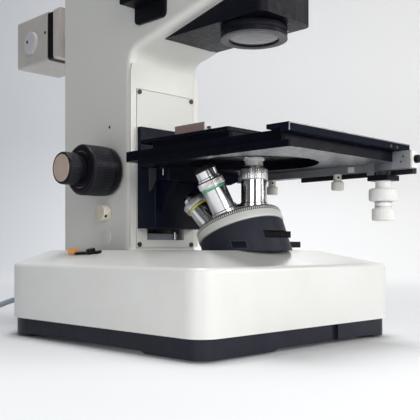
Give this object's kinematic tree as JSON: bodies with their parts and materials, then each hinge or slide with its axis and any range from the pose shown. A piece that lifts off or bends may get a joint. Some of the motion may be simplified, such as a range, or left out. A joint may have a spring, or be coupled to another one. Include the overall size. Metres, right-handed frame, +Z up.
{
  "type": "inverted microscope stand with stage, nosepiece and lamp",
  "caption": "Off-white laboratory microscope with a box column and overhanging arm, black mechanical stage above an upturned tilting nosepiece, rear lamp house and coaxial focus knobs.",
  "frame": {"origin": "middle of the footprint of the instrument, without its cord, on the table", "axes": "+Z up from the table, -Y out of the plain front of the base, +X to the right for a person facing that front; metres"},
  "size_m": [0.379, 0.471, 0.498],
  "materials": {
    "cream_enamel": "satin",
    "black_enamel": "satin",
    "black_anodised": "matte",
    "pan_black": "matte",
    "grey_metal": "satin",
    "bright_steel": "brushed",
    "chrome": "polished",
    "white_plastic": "satin",
    "black_plastic": "satin",
    "grey_plastic": "satin",
    "orange_plastic": "gloss",
    "brass": "satin",
    "glass": "clear",
    "mirror": "polished",
    "rubber": "matte",
    "cord_grey": "satin",
    "mauve_metal": "satin",
    "transformer_iron": "matte"
  },
  "bodies": {
    "stand": {"base_pan": "pan_black", "rubber_feet": "rubber", "base_cover": "cream_enamel", "column_arm": "cream_enamel", "front_panel": "cream_enamel", "panel_screws": "bright_steel", "slide_guide": "grey_metal", "fold_mirrors": "mirror", "lens_cells": "black_anodised", "relay_lenses": "glass", "transformer": "transformer_iron", "nosepiece_pedestal": "black_enamel", "turret_pivot": "bright_steel", "condenser_carrier": "black_anodised", "condenser_lens": "glass", "lamp_flange": "grey_metal", "lamp_housing": "grey_plastic", "lamp_bulb": "glass", "lamp_socket": "black_plastic", "slider_plate": "black_enamel", "head_body": "cream_enamel", "cable_gland": "rubber", "cord_tube": "cord_grey", "cord_coil": "cord_grey", "plug": "black_plastic"},
    "stage": {"focus_slide": "black_anodised", "stage_bracket": "black_anodised", "stage_plate": "black_anodised", "stage_insert": "black_anodised", "guide_rail": "bright_steel", "knob_bracket": "black_anodised"},
    "nosepiece": {"turret_ring": "grey_metal", "turret_dome": "grey_metal", "objective_high": "chrome", "objective_medium": "brass", "objective_low": "brass", "objective_scan": "brass"},
    "coarse": {"coarse_knobs": "black_plastic", "coarse_shaft": "bright_steel"},
    "fine": {"fine_knobs": "black_plastic", "fine_shaft": "bright_steel"},
    "guide_y": {"guide_beam": "grey_metal", "rack_bar": "bright_steel", "cross_rail": "black_anodised", "clamp_screws": "white_plastic"},
    "holder_x": {"specimen_holder": "black_anodised", "holder_clamp": "mauve_metal"},
    "knob_for_y": {"y_knob": "white_plastic"},
    "knob_for_x": {"x_knob": "white_plastic"},
    "tension": {"tension_knob": "white_plastic"},
    "lamp_centring": {"lamp_knob": "grey_plastic"},
    "filter": {"filter_slider": "black_plastic"},
    "lever": {"base_lever": "black_enamel", "lever_tip": "orange_plastic"},
    "iris": {"iris_ring": "black_anodised"},
    "nosepiece_slider": {"pedestal_slider": "black_anodised"},
    "left_tube": {"tube_left": "black_enamel"},
    "right_tube": {"tube_right": "black_enamel", "eyepiece_right": "black_anodised"},
    "left_eyepiece": {"eyepiece_left": "black_anodised"}
  },
  "joints": [
    {"name": "stage_focus", "type": "slide", "parent": "stand", "child": "stage", "axis": [0, 0, 1], "range_m": [-0.002, 0.012]},
    {"name": "coarse_turn", "type": "hinge", "parent": "stand", "child": "coarse", "pos_m": [0, 0.0303, 0.1613], "axis": [1, 0, 0], "range_deg": [-80, 18]},
    {"name": "fine_turn", "type": "hinge", "parent": "coarse", "child": "fine", "pos_m": [0, 0.0303, 0.1613], "axis": [1, 0, 0], "continuous": true},
    {"name": "nosepiece_turn", "type": "hinge", "parent": "stand", "child": "nosepiece", "pos_m": [0, -0.10349, 0.10868], "axis": [0, 0.3827, 0.9239], "continuous": true},
    {"name": "guide_travel", "type": "slide", "parent": "stage", "child": "guide_y", "axis": [0, 1, 0], "range_m": [-0.025, 0]},
    {"name": "y_knob_turn", "type": "hinge", "parent": "stage", "child": "knob_for_y", "pos_m": [0.07975, -0.2075, 0.14], "axis": [0, 0, 1], "range_deg": [-245, 5]},
    {"name": "holder_travel", "type": "slide", "parent": "guide_y", "child": "holder_x", "axis": [1, 0, 0], "range_m": [-0.02, 0.02]},
    {"name": "x_knob_turn", "type": "hinge", "parent": "stage", "child": "knob_for_x", "pos_m": [0.07975, -0.2075, 0.13], "axis": [0, 0, 1], "range_deg": [-200, 200]},
    {"name": "tension_turn", "type": "hinge", "parent": "stand", "child": "tension", "pos_m": [-0.0454, 0.0365, 0.1205], "axis": [1, 0, 0], "range_deg": [-90, 90]},
    {"name": "lamp_centring_turn", "type": "hinge", "parent": "stand", "child": "lamp_centring", "pos_m": [-0.0307, 0.202, 0.3285], "axis": [1, 0, 0], "range_deg": [-90, 90]},
    {"name": "filter_pull", "type": "slide", "parent": "stand", "child": "filter", "axis": [-1, 0, 0], "range_m": [0, 0.03]},
    {"name": "lever_swing", "type": "hinge", "parent": "stand", "child": "lever", "pos_m": [-0.0905, 0, 0.07923], "axis": [-0.2421, 0, 0.9703], "range_deg": [-25, 25]},
    {"name": "iris_turn", "type": "hinge", "parent": "stand", "child": "iris", "pos_m": [0, -0.1229, 0.28], "axis": [0, 0, 1], "range_deg": [-30, 30]},
    {"name": "nosepiece_slider_pull", "type": "slide", "parent": "stand", "child": "nosepiece_slider", "axis": [1, 0, 0], "range_m": [0, 0.022]},
    {"name": "left_tube_shift", "type": "slide", "parent": "stand", "child": "left_tube", "axis": [1, 0, 0], "range_m": [-0.006, 0.005]},
    {"name": "right_tube_shift", "type": "slide", "parent": "stand", "child": "right_tube", "axis": [1, 0, 0], "range_m": [-0.005, 0.006]},
    {"name": "dioptre_turn", "type": "hinge", "parent": "left_tube", "child": "left_eyepiece", "pos_m": [-0.032, -0.16178, 0.45628], "axis": [0, -0.7071, 0.7071], "range_deg": [-90, 90]}
  ],
  "couplings": [
    {"joint": "coarse_turn", "follows": "stage_focus", "rad_per_m": -111.11},
    {"joint": "y_knob_turn", "follows": "guide_travel", "rad_per_m": 168.07},
    {"joint": "x_knob_turn", "follows": "holder_travel", "rad_per_m": 166.67},
    {"joint": "right_tube_shift", "follows": "left_tube_shift", "ratio": -1}
  ]
}
